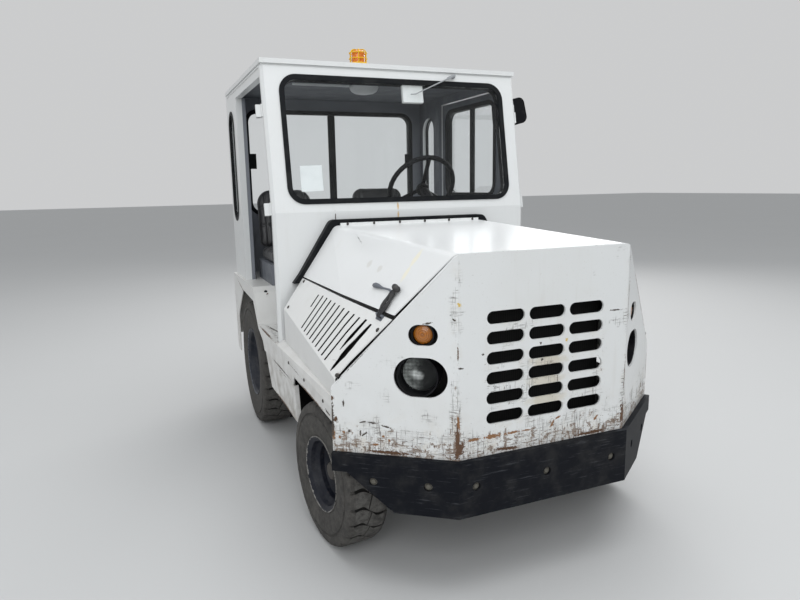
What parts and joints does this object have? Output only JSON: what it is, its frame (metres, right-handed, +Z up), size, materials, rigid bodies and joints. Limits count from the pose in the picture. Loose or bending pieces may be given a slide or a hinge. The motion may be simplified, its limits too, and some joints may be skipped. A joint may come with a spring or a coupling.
{
  "type": "airport baggage tug",
  "caption": "Compact airport baggage tug with a folded nose, lifting hood, steel cab with one door fitted, steered front wheels and a rear towing jaw.",
  "frame": {"origin": "centre of the towing pin's bore in the rear hitch jaw", "axes": "+Z up, -Y forwards towards the nose, +X towards the vehicle's left side"},
  "size_m": [1.7647, 3.012, 2.2899],
  "materials": {
    "white_paint": "semi-gloss, dusty",
    "frame_black": "matt, dirty",
    "iron": "rough",
    "mesh_dark": "matt",
    "rubber_black": "matt",
    "tyre": "dusty",
    "rim_navy": "worn, satin",
    "plastic_black": "matt",
    "vinyl_black": "satin",
    "window_glass": "clear",
    "lamp_glass": "clear",
    "amber": "gloss",
    "red_lens": "gloss",
    "guard_yellow": "gloss",
    "steel": "worn"
  },
  "bodies": {
    "vehicle": {"chassis_frame": "frame_black", "tow_hitch": "frame_black", "tow_pin": "steel", "front_axle": "iron", "rear_axle": "iron", "engine_block": "iron", "radiator": "mesh_dark", "nose_plate": "white_paint", "bumper": "rubber_black", "lamp_bodies": "plastic_black", "headlamp_glass": "lamp_glass", "indicator_lenses": "amber", "tail_lamps": "red_lens", "engine_cover_right": "white_paint", "engine_cover_left": "white_paint", "side_rail_right": "white_paint", "side_rail_left": "white_paint", "body_side_right": "white_paint", "body_side_left": "white_paint", "cab_floor": "white_paint", "cowl": "white_paint", "windscreen_frame": "white_paint", "roof": "white_paint", "quarter_panel_right": "white_paint", "quarter_panel_left": "white_paint", "rear_wall": "white_paint", "window_seals": "rubber_black", "cab_glass": "window_glass", "hood_seal": "rubber_black", "hood_hinges": "steel", "door_hinges": "white_paint", "steering_column": "plastic_black", "pedals": "frame_black", "seat_cushions": "vinyl_black", "beacon_lens": "amber", "beacon_guard": "guard_yellow", "wiper": "frame_black"},
    "hood": {"hood": "white_paint", "hood_latches": "rubber_black"},
    "door": {"door_left": "white_paint", "door_seal": "rubber_black", "door_glass": "window_glass", "mirror": "plastic_black"},
    "steering_wheel": {"steering_wheel": "plastic_black"},
    "knuckle_right": {"knuckle_right": "iron"},
    "knuckle_left": {"knuckle_left": "iron"},
    "tie_rod": {"tie_rod": "iron"},
    "wheel_front_right": {"tyre_front_right": "tyre", "rim_front_right": "rim_navy"},
    "wheel_front_left": {"tyre_front_left": "tyre", "rim_front_left": "rim_navy"},
    "wheel_rear_right": {"tyre_rear_right": "tyre", "rim_rear_right": "rim_navy"},
    "wheel_rear_left": {"tyre_rear_left": "tyre", "rim_rear_left": "rim_navy"}
  },
  "joints": [
    {"name": "hood_hinge", "type": "hinge", "parent": "vehicle", "child": "hood", "pos_m": [0, -1.651, 0.932], "axis": [-1, 0, 0], "range_deg": [0, 55]},
    {"name": "door_hinge", "type": "hinge", "parent": "vehicle", "child": "door", "pos_m": [0.772, -1.538, 0.997], "axis": [0, -0.1736, -0.9848], "range_deg": [0, 75]},
    {"name": "steer_right", "type": "hinge", "parent": "vehicle", "child": "knuckle_right", "pos_m": [-0.54, -2.325, -0.104], "axis": [0, 0, 1], "range_deg": [-37, 23]},
    {"name": "steer_left", "type": "hinge", "parent": "vehicle", "child": "knuckle_left", "pos_m": [0.54, -2.325, -0.104], "axis": [0, 0, 1], "range_deg": [-37, 23]},
    {"name": "tie_rod_pin", "type": "hinge", "parent": "knuckle_right", "child": "tie_rod", "pos_m": [-0.55645, -2.19101, -0.178], "axis": [0, 0, 1], "range_deg": [-23, 37]},
    {"name": "steering_wheel_spin", "type": "hinge", "parent": "vehicle", "child": "steering_wheel", "pos_m": [0.2375, -1.285, 1.1], "axis": [0, 0.848, 0.5299], "range_deg": [-555, 345]},
    {"name": "spin_front_right", "type": "hinge", "parent": "knuckle_right", "child": "wheel_front_right", "pos_m": [-0.67102, -2.34109, -0.104], "axis": [0.9925, 0.1219, 0], "continuous": true},
    {"name": "spin_front_left", "type": "hinge", "parent": "knuckle_left", "child": "wheel_front_left", "pos_m": [0.67102, -2.30891, -0.104], "axis": [0.9925, 0.1219, 0], "continuous": true},
    {"name": "spin_rear_right", "type": "hinge", "parent": "vehicle", "child": "wheel_rear_right", "pos_m": [-0.6575, -0.705, -0.015], "axis": [1, 0, 0], "continuous": true},
    {"name": "spin_rear_left", "type": "hinge", "parent": "vehicle", "child": "wheel_rear_left", "pos_m": [0.6575, -0.705, -0.015], "axis": [1, 0, 0], "continuous": true}
  ],
  "couplings": [
    {"joint": "steer_left", "follows": "steer_right", "ratio": 1},
    {"joint": "tie_rod_pin", "follows": "steer_right", "ratio": -1},
    {"joint": "steering_wheel_spin", "follows": "steer_right", "ratio": 15}
  ]
}
